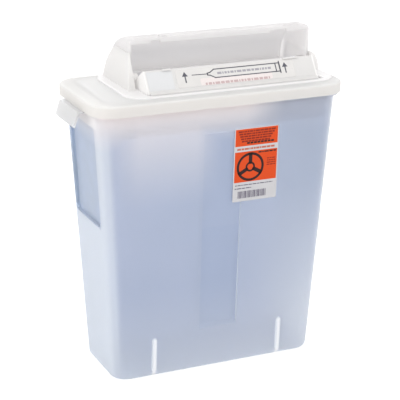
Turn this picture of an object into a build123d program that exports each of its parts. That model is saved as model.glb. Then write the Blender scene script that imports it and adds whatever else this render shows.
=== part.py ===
from build123d import *
import os
from math import atan2, cos, degrees, hypot, radians, sin

# Sharps container with a counterbalanced drop tray.
# Millimetres, +Z up, front is -Y, origin at the centre of the underside.

# ---- Tub: tapered thin-walled moulding -------------------------------------
base_length = 273.5
base_depth = 112.0
base_corner = 22.0
rim_length = 315.0
rim_depth = 140.0
rim_corner = 24.0
rim_height = 344.0  # height where the rim sizes are taken
wall = 2.2
tub_top = 355.5
base_fillet = 6.0
shelf_top = 345.0  # shelf that the lid's skirt comes down to
shelf_thickness = 2.0
bead_bottom = 351.0  # bead that the lid snaps over
bead_thickness = 2.5

channel_width = 51.0  # shallow hollow down the middle of the front wall
channel_foot = 54.0
channel_ledge = 60.0
channel_top = 311.0
channel_head = 313.0  # where the short slope above it ends
channel_depth_low = 3.2
channel_depth_high = 0.9

pocket_bottom = 200.0  # hand pocket in the left side, below the grip
pocket_top = 326.0
pocket_front = -40.0
pocket_back = 45.0
pocket_depth = 5.0
pocket_corner = 8.0

grip_reach = 172.5  # hand grip: a leaning wall hung from the shelf on the left, open at its ends
grip_foot_reach = 178.5
grip_foot = 326.5
grip_length = 64.0
grip_wall = 2.5
grip_edge_fillet = 1.0

toe_rib_x = 86.0
toe_rib_height = 47.0
toe_rib_width = 8.0
toe_rib_depth = 2.4
toe_rib_taper = 28.0
toe_rib_end = 3.9  # radius of the rib's ends

# ---- Lid deck --------------------------------------------------------------
lid_length = 332.0
lid_depth = 152.0
lid_corner = 30.0
lid_bottom = 345.4
lid_top = 359.0
lid_wall = 2.2
lid_edge_fillet = 2.5
snap_bottom = 346.6
snap_top = 350.6
snap_depth = 1.6
skirt_gap = 0.5
deck_mouth_corner = 4.0

# ---- Hand guard: inner skirt below the deck --------------------------------
guard_foot = 316.0
guard_length = 296.0
guard_corner = 20.0
guard_wall = 1.8
guard_gap = 0.6
guard_flange = 3.0
baffle_top = (65.0, 350.0)  # (y, z) of the sloping baffle behind the tray
baffle_foot = (42.0, 334.0)
baffle_right = 132.0
baffle_drop = 1.0

# ---- Hood ------------------------------------------------------------------
cheek_left = -95.0  # outer faces of the two cheeks
cheek_right = 148.0
hood_wall = 3.0
plinth_left = -116.0
plinth_right = 161.0
plinth_front = -58.0
plinth_top = 361.0
plinth_corner = 25.0
plinth_edge_fillet = 1.4
hood_centre = (10.0, 366.0)  # (y, z) of the centre of the elliptical back
hood_reach = 63.5
hood_roof = 418.0
hood_edge_fillet = 6.0
lip_bottom = 411.5
lip_thickness = 3.0
mouth_left = -91.5  # opening through deck and plinth
mouth_right = 145.0
mouth_front = -51.0
mouth_back = 60.0
mouth_corner = 3.0
hook_thickness = 2.0
hook_gap = 0.3
hook_root = 1.0  # how far the hooks run up into the plinth
hook_width = 12.0
hook_barb = 1.4
hook_depth = 5.0
hook_x = (-60.0, 26.0, 112.0)
catch_height = 3.5
catch_clearance = 1.0
lug_height = 1.2
lug_corner = 2.0
lug_draft = 10.0

# ---- Pivot covers: a rounded hump on the right, a leaning wall on the left ---
cover_wall = 1.8
hump_reach = 13.5
hump_front = -8.0
hump_back = 60.0
hump_top = 384.0
hump_end_fillet = 6.0
lean_reach = 9.0  # thickness of the leaning cover at the plinth
lean_lip = 1.2  # and at its upper edge
lean_top = 402.0
lean_front = 2.0  # y of its front edge at the height of the roof, and at the deck
lean_toe = -22.0
lean_inset = 7.5  # distance inside the hood's rounded outline
lean_room_front = 1.0  # y where the room for the pin's head starts
lean_edge_fillet = 0.9
peg_radius = 1.5
peg_depth = 2.6
peg_height = 366.0
peg_y = (22.0, 38.0)

# ---- Rotor: tipping tray ---------------------------------------------------
pivot = (8.0, 368.0)  # (y, z) of the axis it tips about
rotor_left = -90.0
rotor_right = 137.0
end_plate = 2.0
drum_radius = 56.4
drum_start_angle = 186.6
drum_end_angle = 243.6
drum_overlap = 2.0  # degrees that the skirt's inner face runs up into the flap
flap_foot = (-48.0, 361.5)  # (y, z) of the front panel's lower and upper edges
flap_head = (-31.0, 386.0)
floor_bend = (6.0, 361.3)
floor_lip = (34.0, 360.5)
end_heel = (31.0, 354.5)  # (y, z) of the end plates' corners below and behind the floor's lip
end_toe = (36.5, 361.5)
sheet = 2.0
fit_gap = 0.05  # between mating pieces that are fixed together
rest_flange = 5.0
rest_flange_height = 1.2
lock_tabs = ((-60.5, 11.0), (105.0, 20.0))  # (middle x, width)
lock_tab_rise = 2.6  # radial, so that the tabs swing up into the lip's notches
lock_tab_angle = 2.5
thumb_left = -87.0
thumb_right = -54.0
thumb_low = 2.5  # distances up the flap from its foot
thumb_high = 27.8
thumb_depth = 0.8
thumb_corner = 2.0
rod_y = -30.0
rod_z = 369.0
rod_radius = 5.0
rod_rib_x = (-60.0, 23.5, 107.0)
pin_radius = 4.0
pin_head_radius = 6.5
pin_head_thickness = 2.5
pin_grip = 8.0  # length of pin held in the end plate's boss
running_gap = 0.05
end_hub_radius = 8.0
boss_radius = 6.5  # boss on the inner face of each end plate
boss_floor = 1.0  # plastic left at the end of the pin's hole
pin_end_gap = 0.2
pin_hole_gap = 0.01
rod_chamfer = 0.6
bearing_radius = 9.0  # bearing pad on the inner face of each cheek
bearing_gap = 0.5

# ---- Labels ----------------------------------------------------------------
film = 0.2
label_left = 14.0
label_right = 73.8
label_foot = 219.7
label_head = 314.2
label_corner = 1.2
flap_label_left = -50.0
flap_label_right = 108.0
flap_label_low = 4.2  # distances up the flap from its foot
flap_label_high = 27.6
flap_label_corner = 1.5

# ---- Derived ---------------------------------------------------------------
front_lean = (rim_depth - base_depth) / 2 / rim_height
side_lean = (rim_length - base_length) / 2 / rim_height
skirt_inner_length = lid_length - 2 * lid_wall
skirt_inner_depth = lid_depth - 2 * lid_wall
skirt_inner_corner = lid_corner - lid_wall
ceiling = lid_top - lid_wall
mouth_centre = ((mouth_left + mouth_right) / 2, (mouth_front + mouth_back) / 2)
mouth_length = mouth_right - mouth_left
mouth_depth = mouth_back - mouth_front
plinth_back = hood_centre[0] + hood_reach
plinth_height = plinth_top - lid_top
hook_room = hook_thickness + hook_gap
cheek_inner_left = cheek_left + hood_wall
cheek_inner_right = cheek_right - hood_wall
flap_run = flap_head[0] - flap_foot[0]
flap_climb = flap_head[1] - flap_foot[1]
flap_length = hypot(flap_run, flap_climb)
lean_room = lean_reach - cover_wall
lean_slope = (lean_reach - lean_lip) / (lean_top - plinth_top)
thumb_width = thumb_right - thumb_left
thumb_height = thumb_high - thumb_low
thumb_centre = ((thumb_left + thumb_right) / 2, (thumb_low + thumb_high) / 2)
label_centre = ((label_left + label_right) / 2, (label_foot + label_head) / 2)
flap_label_centre = (
    (flap_label_left + flap_label_right) / 2,
    (flap_label_low + flap_label_high) / 2,
)
sheet_left = rotor_left + end_plate
sheet_right = rotor_right - end_plate
sheet_length = sheet_right - sheet_left
drum_arc = drum_end_angle - drum_start_angle
head_radius = hypot(flap_head[0] - pivot[0], flap_head[1] - pivot[1])
head_angle = degrees(atan2(flap_head[1] - pivot[1], flap_head[0] - pivot[0]))


def front_wall(height):
    """Y of the tub's outer front wall at a height."""
    return -(base_depth / 2 + front_lean * height)


def side_wall(height):
    """X of the tub's outer right wall at a height."""
    return base_length / 2 + side_lean * height


def tub_outline(height, inset=0.0):
    """Length, depth and corner radius of the tub at a height."""
    corner = base_corner + (rim_corner - base_corner) * height / rim_height
    return 2 * (side_wall(height) - inset), 2 * (-front_wall(height) - inset), corner - inset


def guard_outline(height, inset):
    """Length, depth and corner radius of the hand guard at a height."""
    depth = tub_outline(height, wall + guard_gap + inset)[1]
    return guard_length - 2 * inset, depth, guard_corner - inset


def round_pivot(radius, angle):
    """Point (y, z) on a circle round the pivot axis."""
    return pivot[0] + radius * cos(radians(angle)), pivot[1] + radius * sin(radians(angle))


def yz_plane(x):
    """Section plane across the container: sketch X is +Y and sketch Y is +Z."""
    return Plane.YZ.offset(x)


front_plane = Plane(origin=(0, -base_depth / 2, 0), x_dir=(1, 0, 0), z_dir=(0, -1, -front_lean))
left_plane = Plane(origin=(-base_length / 2, 0, 0), x_dir=(0, -1, 0), z_dir=(-1, 0, -side_lean))
flap_plane = Plane(
    origin=(0, flap_foot[0], flap_foot[1]), x_dir=(1, 0, 0), z_dir=(0, -flap_climb, flap_run)
)

os.makedirs("parts", exist_ok=True)

# ---- Tub -------------------------------------------------------------------
with BuildPart() as cavity:
    for height in (wall, tub_top + wall):
        with BuildSketch(Plane.XY.offset(height)):
            RectangleRounded(*tub_outline(height, wall))
    loft(ruled=True)
    fillet(cavity.faces().sort_by(Axis.Z)[0].edges(), base_fillet - wall)

grip_root = -side_wall(grip_foot) + wall / 2
with BuildPart() as grip:
    with BuildSketch(Plane.XZ.offset(-grip_length / 2)):
        with BuildLine():
            Polyline(
                (grip_root, shelf_top),
                (-grip_reach, shelf_top),
                (-grip_foot_reach, grip_foot),
                (grip_wall - grip_foot_reach, grip_foot),
                (grip_wall - grip_reach, shelf_top - shelf_thickness),
                (grip_root, shelf_top - shelf_thickness),
                close=True,
            )
        make_face()
    extrude(amount=grip_length)
    fillet(grip.edges().filter_by(Axis.Y).sort_by(Axis.X)[:3], grip_edge_fillet)

with BuildPart() as tub:
    for height in (0, tub_top):
        with BuildSketch(Plane.XY.offset(height)):
            RectangleRounded(*tub_outline(height))
    loft(ruled=True)
    fillet(tub.faces().sort_by(Axis.Z)[0].edges(), base_fillet)
    # Shelf under the lid's skirt, and the bead that the skirt snaps over.
    for foot, thickness in (
        (shelf_top - shelf_thickness, shelf_thickness),
        (bead_bottom, bead_thickness),
    ):
        with BuildSketch(Plane.XY.offset(foot)):
            RectangleRounded(
                skirt_inner_length - 2 * skirt_gap,
                skirt_inner_depth - 2 * skirt_gap,
                skirt_inner_corner - skirt_gap,
            )
        extrude(amount=thickness)
    with BuildSketch(front_plane.offset(-wall / 2)):
        with Locations(
            (-toe_rib_x, base_fillet + toe_rib_height / 2),
            (toe_rib_x, base_fillet + toe_rib_height / 2),
        ):
            RectangleRounded(toe_rib_width, toe_rib_height, toe_rib_end)
    extrude(amount=wall / 2 + toe_rib_depth, taper=toe_rib_taper)
    add(grip.part)
    add(cavity.part, mode=Mode.SUBTRACT)
    # Front channel: a thickened patch of wall, then the hollow cut into it.
    channel_profile = (
        (front_wall(channel_foot), channel_foot),
        (front_wall(channel_ledge) + channel_depth_low, channel_ledge),
        (front_wall(channel_top) + channel_depth_high, channel_top),
        (front_wall(channel_head), channel_head),
    )
    with BuildSketch(yz_plane(-channel_width / 2 - wall)):
        with BuildLine():
            Polyline(
                (front_wall(channel_foot - wall) + wall / 2, channel_foot - wall),
                *((y + wall, z) for y, z in channel_profile),
                (front_wall(channel_head) + wall / 2, channel_head),
                close=True,
            )
        make_face()
    extrude(amount=channel_width + 2 * wall)
    with BuildSketch(yz_plane(-channel_width / 2)):
        with BuildLine():
            Polyline(
                (front_wall(channel_foot) - wall, channel_foot),
                *channel_profile,
                (front_wall(channel_head) - wall, channel_head),
                close=True,
            )
        make_face()
    extrude(amount=channel_width, mode=Mode.SUBTRACT)
    # Hand pocket: the same way. The sketch's X runs towards the front.
    pocket_span = pocket_back - pocket_front
    pocket_height = pocket_top - pocket_bottom
    pocket_centre = (-(pocket_front + pocket_back) / 2, (pocket_bottom + pocket_top) / 2)
    with BuildSketch(left_plane.offset(-wall / 2)):
        with Locations(pocket_centre):
            RectangleRounded(pocket_span + 2 * wall, pocket_height + 2 * wall, pocket_corner + wall)
    extrude(amount=-(pocket_depth + wall / 2))
    with BuildSketch(left_plane):
        with Locations(pocket_centre):
            RectangleRounded(pocket_span, pocket_height, pocket_corner)
    extrude(amount=-pocket_depth, mode=Mode.SUBTRACT)
tub.part.label = "tub"
export_step(tub.part, "parts/tub.step")

# ---- Front label: a film on the front wall, across the channel's edge ------
with BuildPart() as front_label:
    with BuildSketch(front_plane):
        with Locations(label_centre):
            RectangleRounded(label_right - label_left, label_head - label_foot, label_corner)
    extrude(amount=film)
front_label.part.label = "front_label"
export_step(front_label.part, "parts/front_label.step")

# ---- Lid deck: cap with a skirt, an inner snap bead and the tray's mouth ---
with BuildPart() as lid_deck:
    with BuildSketch(Plane.XY.offset(lid_bottom)):
        RectangleRounded(lid_length, lid_depth, lid_corner)
    extrude(amount=lid_top - lid_bottom)
    fillet(lid_deck.faces().sort_by(Axis.Z)[-1].edges(), lid_edge_fillet)
    with BuildSketch(Plane.XY.offset(lid_bottom)):
        RectangleRounded(skirt_inner_length, skirt_inner_depth, skirt_inner_corner)
    extrude(amount=ceiling - lid_bottom, mode=Mode.SUBTRACT)
    with BuildSketch(Plane.XY.offset(snap_bottom)):
        RectangleRounded(skirt_inner_length, skirt_inner_depth, skirt_inner_corner)
        RectangleRounded(
            skirt_inner_length - 2 * snap_depth,
            skirt_inner_depth - 2 * snap_depth,
            skirt_inner_corner - snap_depth,
            mode=Mode.SUBTRACT,
        )
    extrude(amount=snap_top - snap_bottom)
    # Mouth, deeper than the hood's by the thickness of the hood's hooks.
    with BuildSketch(Plane.XY.offset(ceiling)):
        with Locations(mouth_centre):
            RectangleRounded(
                mouth_length + 2 * skirt_gap, mouth_depth + 2 * hook_room, deck_mouth_corner
            )
    extrude(amount=lid_wall, mode=Mode.SUBTRACT)
lid_deck.part.label = "lid_deck"
export_step(lid_deck.part, "parts/lid_deck.step")

# ---- Hand guard: skirt inside the tub's mouth, with a baffle behind the tray
with BuildPart() as hand_guard:
    for height in (guard_foot, ceiling):
        with BuildSketch(Plane.XY.offset(height)):
            RectangleRounded(*guard_outline(height, 0))
    loft(ruled=True)
    for height in (guard_foot, ceiling):
        with BuildSketch(Plane.XY.offset(height)):
            RectangleRounded(*guard_outline(height, guard_wall))
    loft(ruled=True, mode=Mode.SUBTRACT)
    # Flange that is welded to the underside of the deck.
    with BuildSketch(Plane.XY.offset(ceiling - guard_wall)):
        RectangleRounded(*guard_outline(ceiling, guard_wall / 2))
        RectangleRounded(*guard_outline(ceiling, guard_flange), mode=Mode.SUBTRACT)
    extrude(amount=guard_wall)
    with BuildSketch(yz_plane(mouth_left)):
        with BuildLine():
            Polyline(
                baffle_top,
                baffle_foot,
                (baffle_foot[0] + guard_wall, baffle_foot[1] - baffle_drop),
                (baffle_top[0] + guard_wall, baffle_top[1] - baffle_drop),
                close=True,
            )
        make_face()
    extrude(amount=baffle_right - mouth_left)
hand_guard.part.label = "hand_guard"
export_step(hand_guard.part, "parts/hand_guard.step")


# ---- Hood: plinth, cheeks, rounded back and lipped roof in one moulding -----


def hood_side(x, inset, front, toe):
    """Side outline of the hood: elliptical back, flat roof, and a front from the roof to its toe."""
    back_reach = hood_reach - inset
    with BuildSketch(yz_plane(x)) as side:
        with BuildLine():
            back = EllipticalCenterArc(
                hood_centre, back_reach, hood_roof - hood_centre[1] - inset, arc_size=90
            )
            Polyline(
                back @ 1,
                (front, hood_roof - inset),
                (toe, lid_top),
                (hood_centre[0] + back_reach, lid_top),
                back @ 0,
            )
        make_face()
    return side.sketch


def hood_crest(hood_block):
    """Edges up the back and over the roof at both cheeks."""
    back_edges = hood_block.edges().filter_by(Axis.Z).group_by(Axis.Y)[-1]
    roof_edges = hood_block.edges().filter_by(Axis.Y).group_by(Axis.Z)[-1]
    return hood_block.edges().filter_by(GeomType.ELLIPSE) + back_edges + roof_edges


def hook_side(x, y, outward):
    """Side outline of a snap hook that grips the edge of the deck's mouth."""
    across = Vector(*outward).cross(Vector(0, 0, 1))
    with BuildSketch(Plane(origin=(x, y, 0), x_dir=outward, z_dir=across)) as side:
        with BuildLine():
            Polyline(
                (0, lid_top + hook_root),
                (hook_thickness, lid_top + hook_root),
                (hook_thickness, ceiling - fit_gap),
                (hook_thickness + hook_barb, ceiling - fit_gap),
                (hook_thickness, ceiling - hook_depth),
                (0, ceiling - hook_depth),
                close=True,
            )
        make_face()
    return side.sketch


with BuildPart() as hood_hollow:
    extrude(
        hood_side(cheek_inner_left, hood_wall, lip_thickness, lip_thickness),
        amount=cheek_inner_right - cheek_inner_left,
    )
    fillet(hood_crest(hood_hollow), hood_edge_fillet - hood_wall)
    with BuildSketch(Plane.XY.offset(lid_top)):
        with Locations(((cheek_inner_left + cheek_inner_right) / 2, lip_thickness)):
            Rectangle(cheek_inner_right - cheek_inner_left, 4 * lip_thickness)
    extrude(amount=lip_bottom - lid_top)

with BuildPart() as plinth:
    with BuildSketch(Plane.XY.offset(lid_top)):
        with Locations(((plinth_left + plinth_right) / 2, (plinth_front + plinth_back) / 2)):
            RectangleRounded(plinth_right - plinth_left, plinth_back - plinth_front, plinth_corner)
    extrude(amount=plinth_height)
    fillet(plinth.faces().sort_by(Axis.Z)[-1].edges(), plinth_edge_fillet)
    with BuildSketch(Plane.XY.offset(lid_top)):
        with Locations(mouth_centre):
            RectangleRounded(mouth_length, mouth_depth, mouth_corner)
    extrude(amount=plinth_height, mode=Mode.SUBTRACT)

with BuildPart() as hood:
    extrude(hood_side(cheek_left, 0, 0, 0), amount=cheek_right - cheek_left)
    fillet(hood_crest(hood), hood_edge_fillet)
    add(hood_hollow.part, mode=Mode.SUBTRACT)
    add(plinth.part)
    for x in hook_x:
        extrude(hook_side(x, mouth_front, (0, -1, 0)), amount=hook_width / 2, both=True)
        extrude(hook_side(x, mouth_back, (0, 1, 0)), amount=hook_width / 2, both=True)
    # Bearing pads, pin holes and the cover's peg holes.
    with BuildSketch(yz_plane(cheek_inner_left)):
        with Locations(pivot):
            Circle(bearing_radius)
    extrude(amount=rotor_left - bearing_gap - cheek_inner_left)
    with BuildSketch(yz_plane(rotor_right + bearing_gap)):
        with Locations(pivot):
            Circle(bearing_radius)
    extrude(amount=cheek_inner_right - rotor_right - bearing_gap)
    with BuildSketch(yz_plane(cheek_left)):
        with Locations(pivot):
            Circle(pin_radius + running_gap)
        with Locations(*((y, peg_height) for y in peg_y)):
            Circle(peg_radius + running_gap)
    extrude(amount=cheek_right - cheek_left, mode=Mode.SUBTRACT)
    # Catch notches in the lip for the flap's lock tabs, and low lugs above them.
    for middle, width in lock_tabs:
        with BuildSketch(Plane.XY.offset(lip_bottom)):
            with Locations((middle, lip_thickness / 2)):
                Rectangle(width + 2 * catch_clearance, lip_thickness)
        extrude(amount=catch_height, mode=Mode.SUBTRACT)
        with BuildSketch(Plane.XY.offset(hood_roof - hood_wall / 2)):
            with Locations((middle + width, 2 * lip_thickness)):
                RectangleRounded(width, 2 * lip_thickness, lug_corner)
        extrude(amount=hood_wall / 2 + lug_height, taper=lug_draft)
hood.part.label = "hood"
export_step(hood.part, "parts/hood.step")

# ---- Right pivot cover: a rounded hump over the pin's head -------------------


def hump_outline(y, inset):
    """Quarter of an ellipse against the right cheek's outer face."""
    with BuildSketch(Plane.XZ.offset(-y)) as outline:
        with BuildLine():
            arc = EllipticalCenterArc(
                (cheek_right, plinth_top),
                hump_reach - inset,
                hump_top - plinth_top - inset,
                arc_size=90,
            )
            Polyline(arc @ 1, (cheek_right, plinth_top), arc @ 0)
        make_face()
    return outline.sketch


with BuildPart() as pivot_cover_right:
    extrude(hump_outline(hump_back, 0), amount=hump_back - hump_front)
    fillet(pivot_cover_right.edges().filter_by(GeomType.ELLIPSE), hump_end_fillet)
    extrude(
        hump_outline(hump_back - hump_end_fillet, cover_wall),
        amount=hump_back - hump_front - 2 * hump_end_fillet,
        mode=Mode.SUBTRACT,
    )
    with BuildSketch(yz_plane(cheek_right - peg_depth)):
        with Locations(*((y, peg_height) for y in peg_y)):
            Circle(peg_radius)
    extrude(amount=peg_depth + hump_reach - cover_wall)
pivot_cover_right.part.label = "pivot_cover_right"
export_step(pivot_cover_right.part, "parts/pivot_cover_right.step")

# ---- Left pivot cover: a wall that leans from the plinth up to the cheek -----


def leaning_block(section, inset, front, toe):
    """Solid on the left cheek with a section (x, z), kept inside the hood's side outline."""
    with BuildPart() as block:
        with BuildSketch(Plane.XZ.offset(-plinth_back)):
            with BuildLine():
                Polyline(*section, close=True)
            make_face()
        extrude(amount=plinth_back - plinth_front)
        extrude(
            hood_side(cheek_left - lean_reach, inset, front, toe),
            amount=lean_reach,
            mode=Mode.INTERSECT,
        )
    return block.part


with BuildPart() as pivot_cover_left:
    add(
        leaning_block(
            (
                (cheek_left, plinth_top),
                (cheek_left - lean_reach, plinth_top),
                (cheek_left - lean_lip, lean_top),
                (cheek_left, lean_top),
            ),
            lean_inset,
            lean_front,
            lean_toe,
        )
    )
    outer_face = pivot_cover_left.faces().filter_by(lambda face: face.normal_at().X < -0.9)[0]
    fillet(outer_face.edges().sort_by(Axis.Z)[1:], lean_edge_fillet)
    add(
        leaning_block(
            (
                (cheek_left, plinth_top),
                (cheek_left - lean_room, plinth_top),
                (cheek_left, plinth_top + lean_room / lean_slope),
            ),
            lean_inset + cover_wall,
            lean_room_front,
            lean_room_front,
        ),
        mode=Mode.SUBTRACT,
    )
    with BuildSketch(yz_plane(cheek_left + peg_depth)):
        with Locations(*((y, peg_height) for y in peg_y)):
            Circle(peg_radius)
    extrude(amount=-(peg_depth + lean_room))
pivot_cover_left.part.label = "pivot_cover_left"
export_step(pivot_cover_left.part, "parts/pivot_cover_left.step")

# ---- Flap: front panel of the tray with the drum skirt below it -------------


def flap_strip(near, far, low, high):
    """Four corners (y, z) of a strip along the flap, from depths near to far behind its face."""
    along = (flap_run / flap_length, flap_climb / flap_length)
    behind = (along[1], -along[0])
    return [
        tuple(foot + a * up + b * back for foot, a, b in zip(flap_foot, along, behind))
        for up, back in ((low, near), (high, near), (high, far), (low, far))
    ]


with BuildPart() as flap_panel:
    with BuildSketch(yz_plane(sheet_left)):
        with BuildLine():
            Polyline(*flap_strip(0, sheet, 0, flap_length), close=True)
        make_face()
        with BuildLine():
            outer = CenterArc(pivot, drum_radius, drum_start_angle, drum_arc)
            inner = CenterArc(
                pivot,
                drum_radius - sheet,
                drum_start_angle - drum_overlap,
                drum_arc + drum_overlap,
            )
            Line(outer @ 0, inner @ 0)
            Line(outer @ 1, inner @ 1)
        make_face()
        with BuildLine():
            Polyline(
                flap_foot,
                (flap_foot[0] - rest_flange, flap_foot[1]),
                (flap_foot[0] - rest_flange, flap_foot[1] + rest_flange_height),
                flap_strip(0, sheet, 2 * sheet, flap_length)[0],
                close=True,
            )
        make_face()
    extrude(amount=sheet_length)
    for middle, width in lock_tabs:
        with BuildSketch(yz_plane(middle - width / 2)):
            with BuildLine():
                Polyline(
                    round_pivot(head_radius - sheet / 2, head_angle),
                    round_pivot(head_radius + lock_tab_rise, head_angle),
                    round_pivot(head_radius + lock_tab_rise, head_angle + lock_tab_angle),
                    round_pivot(head_radius - sheet / 2, head_angle + lock_tab_angle),
                    close=True,
                )
            make_face()
        extrude(amount=width)
    # Shallow recess for the thumb pad.
    with BuildSketch(flap_plane):
        with Locations(thumb_centre):
            RectangleRounded(thumb_width, thumb_height, thumb_corner)
    extrude(amount=-thumb_depth, mode=Mode.SUBTRACT)
flap_panel.part.label = "flap_panel"
export_step(flap_panel.part, "parts/flap_panel.step")

# ---- Thumb pad: thin pad laid in the flap's recess --------------------------
with BuildPart() as thumb_pad:
    with BuildSketch(flap_plane.offset(-thumb_depth)):
        with Locations(thumb_centre):
            RectangleRounded(
                thumb_width - 2 * fit_gap, thumb_height - 2 * fit_gap, thumb_corner - fit_gap
            )
    extrude(amount=thumb_depth - fit_gap)
thumb_pad.part.label = "thumb_pad"
export_step(thumb_pad.part, "parts/thumb_pad.step")

# ---- Tray floor: slope, trough and rear lip, with ribs that carry the rod ---
floor_slope = Vector(floor_bend[0] - flap_head[0], floor_bend[1] - flap_head[1]).normalized()
floor_start = Vector(*flap_head) + floor_slope * (sheet + fit_gap)
with BuildPart() as tray_floor:
    with BuildSketch(yz_plane(sheet_left)):
        with BuildLine():
            slope = Line(floor_start, floor_bend)
            TangentArc(slope @ 1, floor_lip, tangent=slope % 1)
            offset(amount=sheet, side=Side.RIGHT)
        make_face()
    extrude(amount=sheet_length)
    for x in rod_rib_x:
        with BuildSketch(yz_plane(x - sheet / 2)):
            with BuildLine():
                Polyline(
                    floor_start - Vector(0, sheet / 2),
                    flap_strip(0, sheet + fit_gap, 2 * sheet, flap_length)[3],
                    (pivot[0] - 2 * sheet, floor_bend[1] - sheet / 2),
                    (pivot[0] - 2 * sheet, floor_bend[1] + sheet / 2),
                    close=True,
                )
            make_face()
            with Locations((rod_y, rod_z)):
                Circle(rod_radius + running_gap, mode=Mode.SUBTRACT)
        extrude(amount=sheet)
tray_floor.part.label = "tray_floor"
export_step(tray_floor.part, "parts/tray_floor.step")

# ---- Tray ends: plates that close the drum, each with a boss for its pin ----


def tray_end(outer_x, inward):
    """End plate whose outer face is at outer_x; inward is +1 or -1 along X."""
    with BuildPart() as plate:
        with BuildSketch(yz_plane(outer_x)):
            with BuildLine():
                skirt = CenterArc(pivot, drum_radius, drum_start_angle, drum_arc)
                Polyline(
                    skirt @ 1,
                    end_heel,
                    end_toe,
                    (pivot[0], floor_bend[1]),
                    floor_bend,
                    flap_head,
                    skirt @ 0,
                )
            make_face()
            with Locations(pivot):
                Circle(end_hub_radius)
        extrude(amount=inward * end_plate)
        with BuildSketch(yz_plane(outer_x + inward * end_plate)):
            with Locations(pivot):
                Circle(boss_radius)
        extrude(amount=inward * (pin_grip - end_plate))
        with BuildSketch(yz_plane(outer_x)):
            with Locations(pivot):
                Circle(pin_radius + pin_hole_gap)
        extrude(amount=inward * (pin_grip - boss_floor), mode=Mode.SUBTRACT)
    return plate


for name, plate in (
    ("tray_end_left", tray_end(rotor_left, 1)),
    ("tray_end_right", tray_end(rotor_right, -1)),
):
    plate.part.label = name
    export_step(plate.part, f"parts/{name}.step")

# ---- Pivot pins: headed pins pushed through the cheeks into the end plates --


def pivot_pin(cheek, tray_face, outward):
    """Pin with its head on the cheek's outer face; outward is +1 or -1 along X."""
    tip = tray_face - outward * (pin_grip - boss_floor - pin_end_gap)
    with BuildPart() as pin:
        with BuildSketch(yz_plane(tip)):
            with Locations(pivot):
                Circle(pin_radius)
        extrude(amount=cheek + outward * pin_head_thickness - tip)
        with BuildSketch(yz_plane(cheek + outward * running_gap)):
            with Locations(pivot):
                Circle(pin_head_radius)
        extrude(amount=outward * (pin_head_thickness - running_gap))
    return pin


for name, pin in (
    ("pivot_pin_left", pivot_pin(cheek_left, rotor_left, -1)),
    ("pivot_pin_right", pivot_pin(cheek_right, rotor_right, 1)),
):
    pin.part.label = name
    export_step(pin.part, f"parts/{name}.step")

# ---- Counterweight: steel rod in the hollow behind the flap -----------------
with BuildPart() as counterweight_rod:
    with BuildSketch(yz_plane(sheet_left + fit_gap)):
        with Locations((rod_y, rod_z)):
            Circle(rod_radius)
    extrude(amount=sheet_length - 2 * fit_gap)
    chamfer(counterweight_rod.edges(), rod_chamfer)
counterweight_rod.part.label = "counterweight_rod"
export_step(counterweight_rod.part, "parts/counterweight_rod.step")

# ---- Flap label: a film with the picture of what to put in ------------------
with BuildPart() as flap_label:
    with BuildSketch(flap_plane):
        with Locations(flap_label_centre):
            RectangleRounded(
                flap_label_right - flap_label_left,
                flap_label_high - flap_label_low,
                flap_label_corner,
            )
    extrude(amount=film)
flap_label.part.label = "flap_label"
export_step(flap_label.part, "parts/flap_label.step")
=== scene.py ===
import math

import bpy
from mathutils import Matrix, Vector


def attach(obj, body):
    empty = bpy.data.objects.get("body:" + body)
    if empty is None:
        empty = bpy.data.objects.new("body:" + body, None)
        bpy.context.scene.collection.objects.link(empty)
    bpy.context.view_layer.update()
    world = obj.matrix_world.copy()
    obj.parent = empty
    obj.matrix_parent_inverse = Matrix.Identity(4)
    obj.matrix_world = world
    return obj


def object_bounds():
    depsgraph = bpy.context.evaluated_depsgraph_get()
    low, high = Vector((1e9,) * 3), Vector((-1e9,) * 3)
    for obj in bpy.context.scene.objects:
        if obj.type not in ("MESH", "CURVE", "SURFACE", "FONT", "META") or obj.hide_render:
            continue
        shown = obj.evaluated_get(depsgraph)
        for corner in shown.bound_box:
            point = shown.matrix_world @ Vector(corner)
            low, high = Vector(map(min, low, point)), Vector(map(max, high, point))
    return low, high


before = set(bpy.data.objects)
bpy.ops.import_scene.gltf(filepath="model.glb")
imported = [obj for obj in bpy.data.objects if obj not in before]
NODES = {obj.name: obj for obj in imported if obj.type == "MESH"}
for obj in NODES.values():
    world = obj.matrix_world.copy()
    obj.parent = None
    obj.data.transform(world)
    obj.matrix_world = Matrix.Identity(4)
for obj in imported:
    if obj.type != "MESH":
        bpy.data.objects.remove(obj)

# Sharps container: materials, printed graphics, light and camera.
# Metres, in the model's own frame: +Z up, front is -Y, origin at the underside's centre.

CAD_LOW, CAD_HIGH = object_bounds()

MM = 0.001
INK_LIFT = 0.00004  # printed patches stand this far off their film
PRINT_STEP = 0.00002  # a later ink lies this far above an earlier one

# Camera: stands to the left of the front and a little above the lid. Degrees, metres, millimetres of lens.
CAMERA_AZIMUTH = -24.62
CAMERA_ELEVATION = 19.12
CAMERA_ROLL = 0.66
CAMERA_DISTANCE = 1.828
CAMERA_TARGET = Vector((0.0, 0.0, 0.2))
CAMERA_LENS = 130.2
CAMERA_SENSOR = 36.0
CAMERA_SHIFT = (0.0008, 0.0077)

# Zones of the tub. A pair is where a zone starts and ends along one axis, or where it fades.
FRONT_WALL_Y = (-0.05, -0.045)
LEFT_WALL_X = (-0.12, -0.115)
GRIP_X = (-0.163, -0.157)  # the grip hangs outside of this
CHANNEL_HALF_WIDTH = (0.0252, 0.0262)
CHANNEL_Z = (0.057, 0.31)
CHANNEL_STEP_Z = (0.189, 0.191)  # above it the channel looks less deep
POCKET_Z = (0.2, 0.327)
POCKET_FRONT_Y = (-0.0425, -0.0405)
TOE_RIB_X = 0.086
TOE_RIB_HALF_WIDTH = (0.001, 0.0042)
TOE_RIB_Z = (0.05, 0.054)

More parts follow.
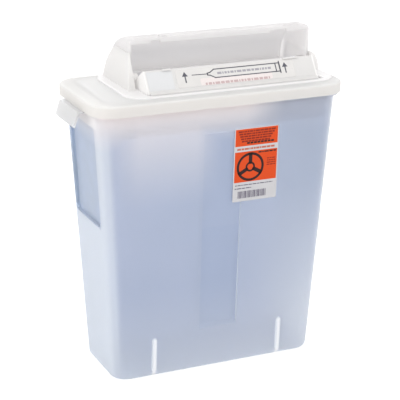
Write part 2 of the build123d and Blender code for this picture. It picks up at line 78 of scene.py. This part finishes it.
# Zones of the lid and hood.
SKIRT_Z = (0.3565, 0.3588)
PLINTH_Z = (0.3611, 0.3616)
# Where the hood's painted glow lies: the right cheek's inner face, below CHEEK_SHADE_Z, and the inside of
# the roof.
CHEEK_FACE_X = (0.1442, 0.1458)  # inner face of the right cheek
CHEEK_SHADE_Z = (0.381, 0.389)
HOOD_INSIDE_X = (-0.0921, 0.1456)
HOOD_INSIDE_Y = (0.0036, 0.0705)
HOOD_INSIDE_TOP_Z = (0.4153, 0.4158)
ROOF_Z = (0.385, 0.412)


# ---- Shader helpers ---------------------------------------------------------


class Shader:
    """One node material, with short calls for the nodes used here."""

    def __init__(self, name):
        self.material = bpy.data.materials.new(name)
        self.material.use_nodes = True
        self.tree = self.material.node_tree
        self.surface = self.tree.nodes["Principled BSDF"]
        self.output = self.tree.nodes["Material Output"]
        self.place = self.node("ShaderNodeTexCoord").outputs["Object"]

    def node(self, kind, **settings):
        made = self.tree.nodes.new(kind)
        for key, value in settings.items():
            setattr(made, key, value)
        return made

    def link(self, source, target):
        self.tree.links.new(source, target)

    def set(self, **values):
        """Sets the surface's inputs; underscores in a name stand for spaces."""
        for key, value in values.items():
            self.surface.inputs[key.replace("_", " ")].default_value = value

    def colour_by(self, source):
        self.link(source, self.surface.inputs["Base Color"])

    def roughness_by(self, scale, detail, low, high):
        """Roughness that drifts between two values with a noise."""
        sheen = self.noise(scale, detail=detail)
        self.link(self.ramp(sheen, low, high, 0.3, 0.7), self.surface.inputs["Roughness"])

    def noise(self, scale, detail, stretch=None):
        """Noise over the object's own coordinates; scale is per metre."""
        made = self.node("ShaderNodeTexNoise")
        made.inputs["Scale"].default_value = scale
        made.inputs["Detail"].default_value = detail
        made.inputs["Roughness"].default_value = 0.55
        place = self.place
        if stretch:
            mapping = self.node("ShaderNodeMapping")
            mapping.inputs["Scale"].default_value = stretch
            self.link(place, mapping.inputs["Vector"])
            place = mapping.outputs["Vector"]
        self.link(place, made.inputs["Vector"])
        return made.outputs["Fac"]

    def ramp(self, value, low, high, start=0.0, end=1.0):
        """Maps value from [start, end] to [low, high]; colours are mixed, numbers too."""
        if isinstance(low, tuple):
            made = self.node("ShaderNodeValToRGB")
            made.color_ramp.elements[0].position = start
            made.color_ramp.elements[1].position = end
            made.color_ramp.elements[0].color = (*low, 1.0)
            made.color_ramp.elements[1].color = (*high, 1.0)
            self.link(value, made.inputs["Fac"])
            return made.outputs["Color"]
        made = self.node("ShaderNodeMapRange")
        for key, number in (("From Min", start), ("From Max", end), ("To Min", low), ("To Max", high)):
            made.inputs[key].default_value = number
        self.link(value, made.inputs["Value"])
        return made.outputs["Result"]

    def rise(self, value, start, end):
        """Zero up to start, one from end on."""
        return self.ramp(value, 0.0, 1.0, start, end)

    def fall(self, value, start, end):
        """One up to start, zero from end on."""
        return self.ramp(value, 1.0, 0.0, start, end)

    def band(self, value, low, high, soft):
        """One between low and high, zero outside, with soft shoulders."""
        return self.product(self.rise(value, low - soft, low), self.fall(value, high, high + soft))

    def mix(self, share, first, second):
        """Mixes two colours by a socket."""
        made = self.node("ShaderNodeMix", data_type="RGBA")
        factor, first_colour, second_colour = (made.inputs[index] for index in (0, 6, 7))
        self.link(share, factor)
        for socket, value in ((first_colour, first), (second_colour, second)):
            if isinstance(value, tuple):
                socket.default_value = (*value, 1.0)
            else:
                self.link(value, socket)
        return made.outputs[2]

    def math(self, operation, first, second=0.0):
        made = self.node("ShaderNodeMath", operation=operation)
        for index, value in enumerate((first, second)):
            if isinstance(value, (int, float)):
                made.inputs[index].default_value = value
            else:
                self.link(value, made.inputs[index])
        return made.outputs["Value"]

    def absolute(self, value):
        return self.math("ABSOLUTE", value)

    def inverse(self, value):
        """One minus the value."""
        return self.math("SUBTRACT", 1.0, value)

    def product(self, *factors):
        made = factors[0]
        for factor in factors[1:]:
            made = self.math("MULTIPLY", made, factor)
        return made

    def largest(self, *values):
        made = values[0]
        for value in values[1:]:
            made = self.math("MAXIMUM", made, value)
        return made

    def axes(self, vector):
        split = self.node("ShaderNodeSeparateXYZ")
        self.link(vector, split.inputs["Vector"])
        return split.outputs["X"], split.outputs["Y"], split.outputs["Z"]

    def slants(self):
        """How far the surface faces along X and along Y, zero to one each."""
        x, y, _ = self.axes(self.node("ShaderNodeNewGeometry").outputs["Normal"])
        return self.absolute(x), self.absolute(y)

    def bump(self, height, strength, distance):
        """Adds a bump layer on top of the ones already there."""
        made = self.node("ShaderNodeBump")
        made.inputs["Strength"].default_value = strength
        made.inputs["Distance"].default_value = distance
        self.link(height, made.inputs["Height"])
        before = self.surface.inputs["Normal"].links
        if before:
            self.link(before[0].from_socket, made.inputs["Normal"])
        self.link(made.outputs["Normal"], self.surface.inputs["Normal"])

    def layers(self, share, first, second):
        """Mixes two shaders by a socket or a number."""
        made = self.node("ShaderNodeMixShader")
        if isinstance(share, float):
            made.inputs[0].default_value = share
        else:
            self.link(share, made.inputs[0])
        self.link(first, made.inputs[1])
        self.link(second, made.inputs[2])
        return made


# ---- Plastics ---------------------------------------------------------------


def moulded_plastic(name, colour, roughness, grain=0.25, passing=0.45, glow=0.02):
    """White moulded polypropylene: slow colour drift, sheen drift, fine grain and low waves.

    passing is the share of light that goes through, and glow is painted light: an emission that lifts the
    plastic's shade, standing in for light scattered inside.
    """
    made = Shader(name)
    made.set(
        Specular_IOR_Level=0.45,
        Emission_Color=(*colour, 1.0),
        Emission_Strength=glow,
    )
    shade = tuple(channel * 0.965 for channel in colour)
    made.colour = made.ramp(made.noise(14.0, detail=3.0), shade, colour, 0.3, 0.62)
    made.colour_by(made.colour)
    made.roughness_by(55.0, 5.0, roughness - 0.06, roughness + 0.1)
    made.bump(made.noise(2600.0, detail=2.0), grain, 0.00006)
    made.bump(made.noise(9.0, detail=2.0), 0.15, 0.0012)
    through = made.node("ShaderNodeBsdfTranslucent")
    through.inputs["Color"].default_value = (*colour, 1.0)
    both = made.layers(passing, made.surface.outputs[0], through.outputs[0])
    made.passing = both.inputs[0]
    made.link(both.outputs[0], made.output.inputs["Surface"])
    return made


def deck_plastic():
    """Lid plastic with painted light: a faint glow lifts its shade, and the skirt, where it lies over the
    tub's edge, is painted darker and warmer than its top as shade on the upright band.
    """
    made = moulded_plastic("deck_plastic", (0.88, 0.875, 0.865), 0.42, glow=0.05)
    _, _, z = made.axes(made.place)
    # Painted shade: below SKIRT_Z the skirt is darker and warmer than the top.
    made.colour_by(made.mix(made.fall(z, *SKIRT_Z), made.colour, (0.78, 0.76, 0.735)))
    return made


def hood_plastic():
    """Lid plastic with painted light: glow inside the roof and on the right cheek's inner face, strongest
    below the cheek's shadow line, standing in for light from behind; the plinth is denser and glows a
    little, which lifts its shade.
    """
    made = moulded_plastic("hood_plastic", (0.86, 0.85, 0.85), 0.42)
    x, y, z = made.axes(made.place)
    slant_x, _ = made.slants()
    plinth = made.fall(z, *PLINTH_Z)
    # Painted light: glow on the right cheek's inner face, strong below CHEEK_SHADE_Z where the key light
    # leaves a shadow, faint above it.
    cheek = made.product(
        made.band(x, *CHEEK_FACE_X, 0.0006),
        made.rise(slant_x, 0.85, 0.98),
        made.ramp(z, 0.55, 0.1, *CHEEK_SHADE_Z),
    )
    # Painted light: glow inside the roof, growing towards the top.
    roof = made.product(
        made.band(x, *HOOD_INSIDE_X, 0.0004),
        made.band(y, *HOOD_INSIDE_Y, 0.0006),
        made.fall(z, *HOOD_INSIDE_TOP_Z),
        made.ramp(z, 0.0, 0.2, *ROOF_Z),
    )
    # The plinth gets a painted glow too, lifting its shade.
    glow = made.largest(cheek, roof, made.product(plinth, 0.125))
    made.link(made.math("ADD", glow, 0.01), made.surface.inputs["Emission Strength"])
    made.link(made.ramp(plinth, 0.56, 0.26), made.passing)
    return made


def tub_zones(made):
    """Masks for the parts of the tub that look different, by name."""
    x, y, z = made.axes(made.place)
    slant_x, slant_y = made.slants()
    front = made.fall(y, *FRONT_WALL_Y)
    left = made.fall(x, *LEFT_WALL_X)
    on_body = made.rise(x, *GRIP_X)
    zones = {"grip": made.inverse(on_body)}

    channel_width = made.fall(made.absolute(x), *CHANNEL_HALF_WIDTH)
    channel = made.product(front, channel_width, made.band(z, *CHANNEL_Z, 0.003))
    zones["channel"] = made.product(channel, made.ramp(z, 1.0, 0.7, *CHANNEL_STEP_Z))
    pocket = made.product(left, made.band(z, *POCKET_Z, 0.002), made.rise(y, *POCKET_FRONT_Y))
    zones["pocket"] = pocket

    # Painted highlights run down the rounded corners and along the toe ribs, whose thicker plastic is also
    # paler; the end walls are made milkier.
    zones["rounded"] = made.product(
        made.rise(slant_x, 0.4, 0.65),
        made.rise(slant_y, 0.15, 0.4),
        made.inverse(pocket),
    )
    end_wall = made.rise(slant_x, 0.6, 0.92)
    zones["end_wall"] = made.math("SUBTRACT", end_wall, pocket)
    rib_reach = made.absolute(made.math("SUBTRACT", made.absolute(x), TOE_RIB_X))
    zones["rib"] = made.product(
        front,
        made.fall(rib_reach, *TOE_RIB_HALF_WIDTH),
        made.fall(z, *TOE_RIB_Z),
    )

    # They are also made paler below the lid, at the upper left of the front, at the foot and at the lower
    # right; above the pocket the end wall gets a painted highlight.
    below_lid = made.product(made.rise(z, 0.3, 0.343), made.ramp(x, 1.0, 0.2, 0.03, 0.08))
    upper_left = made.product(
        made.ramp(z, 0.0, 0.7, 0.225, 0.335),
        made.band(x, -0.11, -0.035, 0.035),
    )
    zones["rim"] = made.product(made.largest(below_lid, upper_left), on_body)
    zones["brow"] = made.product(
        left,
        made.rise(y, -0.062, -0.046),
        made.rise(slant_x, 0.6, 0.9),
        made.rise(z, 0.3255, 0.3265),
        on_body,
    )
    zones["foot"] = made.product(front, made.fall(z, 0.0, 0.12))
    zones["haze"] = made.product(front, made.rise(x, 0.02, 0.12), made.fall(z, 0.06, 0.24))
    return zones


def frosted_tub():
    """Natural polypropylene: bluish where light passes through, milky where it is thick or backed, with
    painted highlights on the corners, the toe ribs and the band above the pocket.
    """
    made = Shader("tub_frosted")
    made.set(
        IOR=1.12,
        Transmission_Weight=0.86,
        Specular_IOR_Level=0.5,
        Coat_Weight=0.3,
        Coat_Roughness=0.3,
    )
    zones = tub_zones(made)

    # Tint of the light that passes through.
    clear = (0.59, 0.64, 0.745), (0.635, 0.675, 0.78)
    tint = made.ramp(made.noise(6.0, detail=3.0), *clear, 0.35, 0.7)
    patches = (0.5, 0.6, 0.68), (0.58, 0.7, 0.86)
    pocket_tint = made.ramp(made.noise(30.0, detail=2.0), *patches, 0.36, 0.62)
    for zone, share, colour in (
        ("channel", 0.5, (0.47, 0.55, 0.7)),
        ("pocket", 0.6, pocket_tint),
        ("foot", 0.4, (0.72, 0.75, 0.82)),
        ("haze", 0.5, (0.78, 0.79, 0.84)),
        ("rim", 0.75, (0.97, 0.92, 0.93)),
        ("grip", 0.8, (0.79, 0.785, 0.775)),
    ):
        tint = made.mix(made.product(zones[zone], share), tint, colour)
    made.colour_by(tint)
    made.roughness_by(40.0, 4.0, 0.38, 0.52)
    made.bump(made.noise(1800.0, detail=2.0), 0.2, 0.00008)
    made.bump(made.noise(22.0, detail=3.0, stretch=(1.0, 1.0, 0.35)), 0.25, 0.0015)

    # Colour of the milky share of the light, which is scattered instead of passing through.
    pale = made.largest(*(zones[zone] for zone in ("rounded", "end_wall", "rim", "rib", "foot", "haze")))
    # Painted highlights: near white on the toe ribs, half as strong on the band above the pocket.
    bright = made.largest(zones["rib"], made.product(zones["brow"], 0.5))
    white = made.mix(pale, (0.66, 0.69, 0.76), (0.86, 0.885, 0.905))
    white = made.mix(zones["rim"], white, (0.97, 0.92, 0.91))
    white = made.mix(bright, white, (0.98, 0.98, 0.98))
    white = made.mix(zones["grip"], white, (0.83, 0.825, 0.815))
    milk = made.node("ShaderNodeBsdfTranslucent")
    chalk = made.node("ShaderNodeBsdfDiffuse")
    for layer in (milk, chalk):
        made.link(white, layer.inputs["Color"])
    scatter = made.layers(0.5, milk.outputs[0], chalk.outputs[0])

    # How large that share is: more at a grazing angle, and more in the pale zones and on the painted
    # highlights.
    facing = made.node("ShaderNodeLayerWeight")
    facing.inputs["Blend"].default_value = 0.35
    share = made.ramp(facing.outputs["Facing"], 0.14, 0.7, 0.1, 0.9)
    for zone, extra in (
        ("rounded", 0.3),
        ("rim", 0.51),
        ("end_wall", 0.5),
        ("foot", 0.24),
        ("haze", 0.26),
        ("rib", 1.0),
        ("brow", 0.78),
    ):
        share = made.largest(share, made.math("ADD", made.product(zones[zone], extra), 0.14))
    both = made.layers(share, made.surface.outputs[0], scatter.outputs[0])
    made.link(both.outputs[0], made.output.inputs["Surface"])
    return made


# ---- Films, inks and steel ----------------------------------------------------


def film(name, colour):
    """Printed label stock: faint waviness and an even, slightly glossy lacquer."""
    made = Shader(name)
    made.set(Specular_IOR_Level=0.5)
    dark = tuple(channel * 0.95 for channel in colour)
    made.colour_by(made.ramp(made.noise(60.0, detail=3.0), dark, colour, 0.3, 0.6))
    made.roughness_by(240.0, 3.0, 0.27, 0.4)
    made.bump(made.noise(130.0, detail=2.0), 0.2, 0.0002)
    return made


def ink(name, colour):
    """Printing ink with a slightly uneven lay-down."""
    made = Shader(name)
    made.set(Roughness=0.42, Specular_IOR_Level=0.1)
    light = tuple(channel * 1.1 + 0.004 for channel in colour)
    made.colour_by(made.ramp(made.noise(1400.0, detail=3.0), colour, light, 0.35, 0.75))
    return made


def drawn_steel():
    """Drawn steel rod with fine lengthwise lines."""
    made = Shader("rod_drawn_steel")
    made.set(Metallic=1.0)
    lines = made.noise(900.0, detail=3.0, stretch=(0.02, 1.0, 1.0))
    made.colour_by(made.ramp(lines, (0.42, 0.42, 0.44), (0.62, 0.62, 0.63), 0.3, 0.7))
    made.link(made.ramp(lines, 0.25, 0.45, 0.3, 0.7), made.surface.inputs["Roughness"])
    made.bump(lines, 0.2, 0.0001)
    return made


# ---- Materials on the CAD nodes ----------------------------------------------


def paint(shader, *nodes):
    """Gives CAD nodes their material."""
    for node in nodes:
        for slot in NODES[node].material_slots:
            slot.material = shader.material


# Painted light: the covers, the tray and the tray ends glow, the tray ends most, which lifts the shade in
# the narrow gaps beside them and under the hood.
cover_plastic = moulded_plastic("cover_plastic", (0.83, 0.82, 0.81), 0.42, passing=0.34, glow=0.08)
tray_plastic = moulded_plastic("tray_plastic", (0.75, 0.74, 0.73), 0.38, passing=0.25, glow=0.08)
end_plastic = moulded_plastic("end_plastic", (0.79, 0.78, 0.77), 0.38, passing=0.2, glow=0.2)
pin_plastic = moulded_plastic("pin_plastic", (0.82, 0.82, 0.8), 0.3, grain=0.1)

paint(frosted_tub(), "tub")
paint(deck_plastic(), "lid_deck")
paint(hood_plastic(), "hood")
paint(moulded_plastic("guard_plastic", (0.9, 0.9, 0.9), 0.5), "hand_guard")
paint(cover_plastic, "pivot_cover_left", "pivot_cover_right")
paint(tray_plastic, "flap_panel", "tray_floor")
paint(moulded_plastic("pad_plastic", (0.695, 0.7, 0.71), 0.5, passing=0.1), "thumb_pad")
paint(end_plastic, "tray_end_left", "tray_end_right")
paint(pin_plastic, "pivot_pin_left", "pivot_pin_right")
paint(drawn_steel(), "counterweight_rod")
paint(film("label_stock", (0.47, 0.465, 0.48)), "front_label")
paint(film("flap_stock", (0.655, 0.64, 0.625)), "flap_label")


# ---- Outlines for printing, in millimetres -------------------------------------


class Sheet:
    """The outer face of a film node, with millimetre places right and up from its lower left corner."""

    def __init__(self, node, body):
        mesh = NODES[node].data
        front = max((p for p in mesh.polygons if p.normal.y < -0.3), key=lambda p: p.area)
        self.body = body
        self.out = front.normal.copy()
        self.across = Vector((1, 0, 0))
        self.up = self.out.cross(self.across)
        outer = [
            mesh.vertices[index].co
            for polygon in mesh.polygons
            if polygon.normal.dot(self.out) > 0.999
            for index in polygon.vertices
        ]
        left, right = min(p.x for p in outer), max(p.x for p in outer)
        low, high = min(p.dot(self.up) for p in outer), max(p.dot(self.up) for p in outer)
        level = outer[0].dot(self.out)
        self.corner = self.across * left + self.up * low + self.out * level
        self.width = (right - left) / MM
        self.height = (high - low) / MM

    def at(self, right, up, layer):
        lift = INK_LIFT + layer * PRINT_STEP
        return self.corner + self.across * right * MM + self.up * up * MM + self.out * lift


def bar(left, low, right, high):
    """Rectangle as a list of corners."""
    return [(left, low), (right, low), (right, high), (left, high)]


def round_bar(left, low, right, high, radius, steps=6):
    """Rectangle with rounded corners."""
    corners = ((right, low, 270), (right, high, 0), (left, high, 90), (left, low, 180))
    outline = []
    for x, y, start in corners:
        centre_x = x - radius if x == right else x + radius
        centre_y = y - radius if y == high else y + radius
        for step in range(steps + 1):
            angle = math.radians(start + 90 * step / steps)
            outline.append((centre_x + radius * math.cos(angle), centre_y + radius * math.sin(angle)))
    return outline


def stroke(points, width, closed=False):
    """A line of even width as one quad per stretch, each a little longer than its stretch."""
    quads = []
    for (ax, ay), (bx, by) in zip(points, points[1:] + points[:1] if closed else points[1:]):
        length = math.hypot(bx - ax, by - ay)
        ux, uy = (bx - ax) / length * width / 2, (by - ay) / length * width / 2
        quads.append([
            (ax - ux + uy, ay - uy - ux),
            (bx + ux + uy, by + uy - ux),
            (bx + ux - uy, by + uy + ux),
            (ax - ux - uy, ay - uy + ux),
        ])
    return quads


def ring(x, y, radius, width, steps):
    """Circle drawn as a band."""
    inner, outer = radius - width / 2, radius + width / 2
    quads = []
    for step in range(steps):
        start, end = (math.tau * (step + side) / steps for side in (0, 1))
        quads.append([
            (x + reach * math.cos(angle), y + reach * math.sin(angle))
            for reach, angle in ((inner, start), (outer, start), (outer, end), (inner, end))
        ])
    return quads


def up_arrow(x, low, high, width, head):
    """Arrow that points up: a shaft and a triangle."""
    shoulder, half_head = high - head, head * 0.62
    return [
        bar(x - width / 2, low, x + width / 2, shoulder),
        [(x - half_head, shoulder), (x + half_head, shoulder), (x, high)],
    ]


def greeked(left, right, low, height, gap, seed):
    """A line of plain dashes of uneven length, standing where words would be."""
    dashes, x, turn = [], left, seed
    while x < right - 1.0:
        turn = (turn * 7 + 3) % 11
        length = 1.6 + 0.45 * turn
        dashes.append(bar(x, low, min(x + length, right), low + height))
        x += length + gap
    return dashes


def printed(name, sheet, outlines, colour, layer=0):
    """One printed piece made of flat outlines on a sheet, in one ink."""
    points, faces = [], []
    for outline in outlines:
        faces.append([len(points) + index for index in range(len(outline))])
        points += [sheet.at(x, y, layer) for x, y in outline]
    mesh = bpy.data.meshes.new(name)
    mesh.from_pydata(points, [], faces)
    mesh.materials.append(colour.material)
    piece = bpy.data.objects.new(name, mesh)
    bpy.context.scene.collection.objects.link(piece)
    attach(piece, sheet.body)


# ---- Labels --------------------------------------------------------------------

DARK_INK = ink("dark_ink", (0.03, 0.015, 0.015))
RUST_INK = ink("rust_ink", (0.2, 0.022, 0.012))


def pictogram():
    """Plain ring with a hub and three spokes."""
    x, y = 22.6, 44.2
    spoke_from, spoke_to = 6.0, 16.0
    marks = ring(x, y, 16.8, 3.2, steps=48) + ring(x, y, 5.2, 2.4, steps=32)
    for angle in (90, 210, 330):
        across, up = math.cos(math.radians(angle)), math.sin(math.radians(angle))
        ends = [(x + reach * across, y + reach * up) for reach in (spoke_from, spoke_to)]
        marks += stroke(ends, 4.8)
    return marks


def foot_bars():
    """Upright bars of uneven width, which encode nothing."""
    bars, x = [], 6.8
    for count in range(26):
        width = 0.4 + 0.35 * ((count * 5) % 4)
        bars.append(bar(x, 4.0, x + width, 13.2))
        x += width + 0.5 + 0.2 * (count % 2)
    return bars


def print_front_label():
    """White border, two orange blocks, a plain pictogram, dashes for words, and bars at the foot."""
    sheet = Sheet("front_label", "container")
    wide, tall, edge = sheet.width, sheet.height, 1.3
    printed("label_orange", sheet, [
        bar(edge, tall - 23.0, wide - edge, tall - edge),
        bar(edge, 25.0, wide - edge, tall - 30.2),
    ], ink("orange_ink", (0.55, 0.06, 0.012)))
    marks = []
    for row in range(5):
        left, right = 5.0 + 1.2 * row, wide - 4.0 - 2.0 * row
        marks += greeked(left, right, tall - 5.6 - 3.1 * row, 2.1, 0.6, 4 + 3 * row)
    printed("label_fine_print", sheet, marks, RUST_INK, layer=1)
    marks = greeked(17.0, 54.0, tall - 20.6, 2.3, 0.8, 5)
    marks += greeked(33.0, 57.0, tall - 33.6, 1.8, 0.8, 2)
    printed("label_band", sheet, marks, DARK_INK, layer=1)
    marks = greeked(4.0, 56.0, tall - 28.0, 2.4, 0.7, 7)
    printed("label_divider", sheet, marks, ink("peach_ink", (0.42, 0.12, 0.08)))
    printed("label_pictogram", sheet, pictogram(), DARK_INK, layer=1)
    marks = []
    for row in range(4):
        marks += greeked(45.0, wide - 3.0, 43.6 + 2.8 * row, 1.3, 0.7, 5 + 2 * row)
    printed("label_side_print", sheet, marks, RUST_INK, layer=1)
    marks = foot_bars()
    marks += greeked(3.0, 54.0, 20.6, 1.1, 0.8, 3)
    marks += greeked(2.5, 25.0, 16.4, 1.2, 0.8, 6)
    printed("label_bars", sheet, marks, ink("violet_ink", (0.1, 0.09, 0.13)))


def syringe():
    """Outline of a syringe with its needle to the left and its plunger to the right."""
    middle, half_barrel, half_flange = 14.4, 5.4, 7.0
    needle, tip, neck, barrel, flange = 21.0, 41.0, 44.5, 50.5, 138.0
    lines = stroke([(needle, middle + 0.6), (tip + 0.5, middle + 0.2)], 1.0)
    lines += stroke([
        (barrel, middle + half_barrel),
        (flange, middle + half_barrel),
        (flange, middle - half_barrel),
        (barrel, middle - half_barrel),
        (neck, middle - 1.8),
        (tip, middle - 1.2),
        (tip, middle + 1.2),
        (neck, middle + 1.8),
    ], 1.3, closed=True)
    for x, half, width in ((flange - 5.0, half_barrel, 1.4), (flange + 0.4, half_flange, 1.6)):
        lines += stroke([(x, middle + half), (x, middle - half)], width)
    return lines


def print_flap_label():
    """Syringe outline with a lift arrow on each side, and a rose strip of dashes below."""
    sheet = Sheet("flap_label", "tray")
    lines = syringe()
    for x in (11.5, 145.5):
        lines += up_arrow(x, 6.0, 20.0, 1.6, 6.0)
    printed("flap_lines", sheet, lines, ink("grey_ink", (0.1, 0.1, 0.12)), layer=1)
    dashes = greeked(54.0, 128.0, 13.0, 2.8, 1.2, 4)
    printed("flap_scale", sheet, dashes, ink("slate_ink", (0.34, 0.33, 0.36)), layer=1)
    strip = round_bar(30.0, 0.5, 126.0, 9.6, 2.5)
    printed("flap_blush", sheet, [strip], ink("blush_ink", (0.7, 0.64, 0.63)))
    dashes = greeked(36.0, 122.0, 0.8, 3.0, 1.3, 3)
    printed("flap_words", sheet, dashes, ink("rose_ink", (0.5, 0.38, 0.38)), layer=1)


print_front_label()
print_flap_label()

# ---- Floor, light and camera -------------------------------------------------


def build_stage():
    """Pale floor and white surroundings."""
    floor_gap = 0.0004
    bpy.ops.mesh.primitive_plane_add(size=12.0, location=(0, 0, CAD_LOW.z - floor_gap))
    floor = bpy.context.object
    floor.name = "floor"
    shader = Shader("floor_white")
    shader.set(
        Roughness=0.8,
        Specular_IOR_Level=0.0,
        Base_Color=(0.55, 0.55, 0.55, 1.0),
        Emission_Color=(1.0, 1.0, 1.0, 1.0),
        Emission_Strength=0.62,
    )
    floor.data.materials.append(shader.material)
    world = bpy.data.worlds.new("studio")
    bpy.context.scene.world = world
    world.use_nodes = True
    tree = world.node_tree
    sky = tree.nodes["Background"]
    sky.inputs["Color"].default_value = (1.0, 1.0, 1.0, 1.0)
    # The surroundings light the object a little less than they show.
    rays = tree.nodes.new("ShaderNodeLightPath")
    level = tree.nodes.new("ShaderNodeMapRange")
    level.inputs["To Min"].default_value = 0.95
    level.inputs["To Max"].default_value = 1.0
    tree.links.new(rays.outputs["Is Camera Ray"], level.inputs["Value"])
    tree.links.new(level.outputs["Result"], sky.inputs["Strength"])


def softbox(name, place, aim_height, size, power):
    """Rectangular area light that looks at a point on the object's upright axis."""
    light = bpy.data.lights.new(name, "AREA")
    light.shape = "RECTANGLE"
    light.size, light.size_y = size
    light.energy = power
    holder = bpy.data.objects.new(name, light)
    bpy.context.scene.collection.objects.link(holder)
    holder.location = place
    aim = Vector((0, 0, aim_height)) - Vector(place)
    holder.rotation_euler = aim.to_track_quat("-Z", "Y").to_euler()


def build_camera():
    """Camera placed by angle and distance, with a slight roll."""
    azimuth, elevation = math.radians(CAMERA_AZIMUTH), math.radians(CAMERA_ELEVATION)
    back = Vector((
        math.sin(azimuth) * math.cos(elevation),
        -math.cos(azimuth) * math.cos(elevation),
        math.sin(elevation),
    ))
    lens = bpy.data.cameras.new("camera")
    lens.lens = CAMERA_LENS
    lens.sensor_width = CAMERA_SENSOR
    lens.shift_x, lens.shift_y = CAMERA_SHIFT
    camera = bpy.data.objects.new("camera", lens)
    bpy.context.scene.collection.objects.link(camera)
    camera.location = CAMERA_TARGET + back * CAMERA_DISTANCE
    turn = back.to_track_quat("Z", "Y").to_matrix()
    roll = Matrix.Rotation(math.radians(CAMERA_ROLL), 3, "Z")
    camera.rotation_euler = (turn @ roll).to_euler()
    bpy.context.scene.camera = camera


build_stage()
softbox("key", (-0.9, -1.2, 1.9), 0.2, (1.9, 1.9), 14.0)
softbox("fill", (1.6, -0.9, 0.9), 0.2, (1.0, 1.4), 7.0)
softbox("back", (0.4, 1.6, 1.3), 0.25, (1.6, 1.0), 9.0)
softbox("side", (-1.9, -0.1, 0.8), 0.25, (0.8, 1.2), 8.0)
build_camera()
bpy.context.scene.view_settings.view_transform = "Standard"
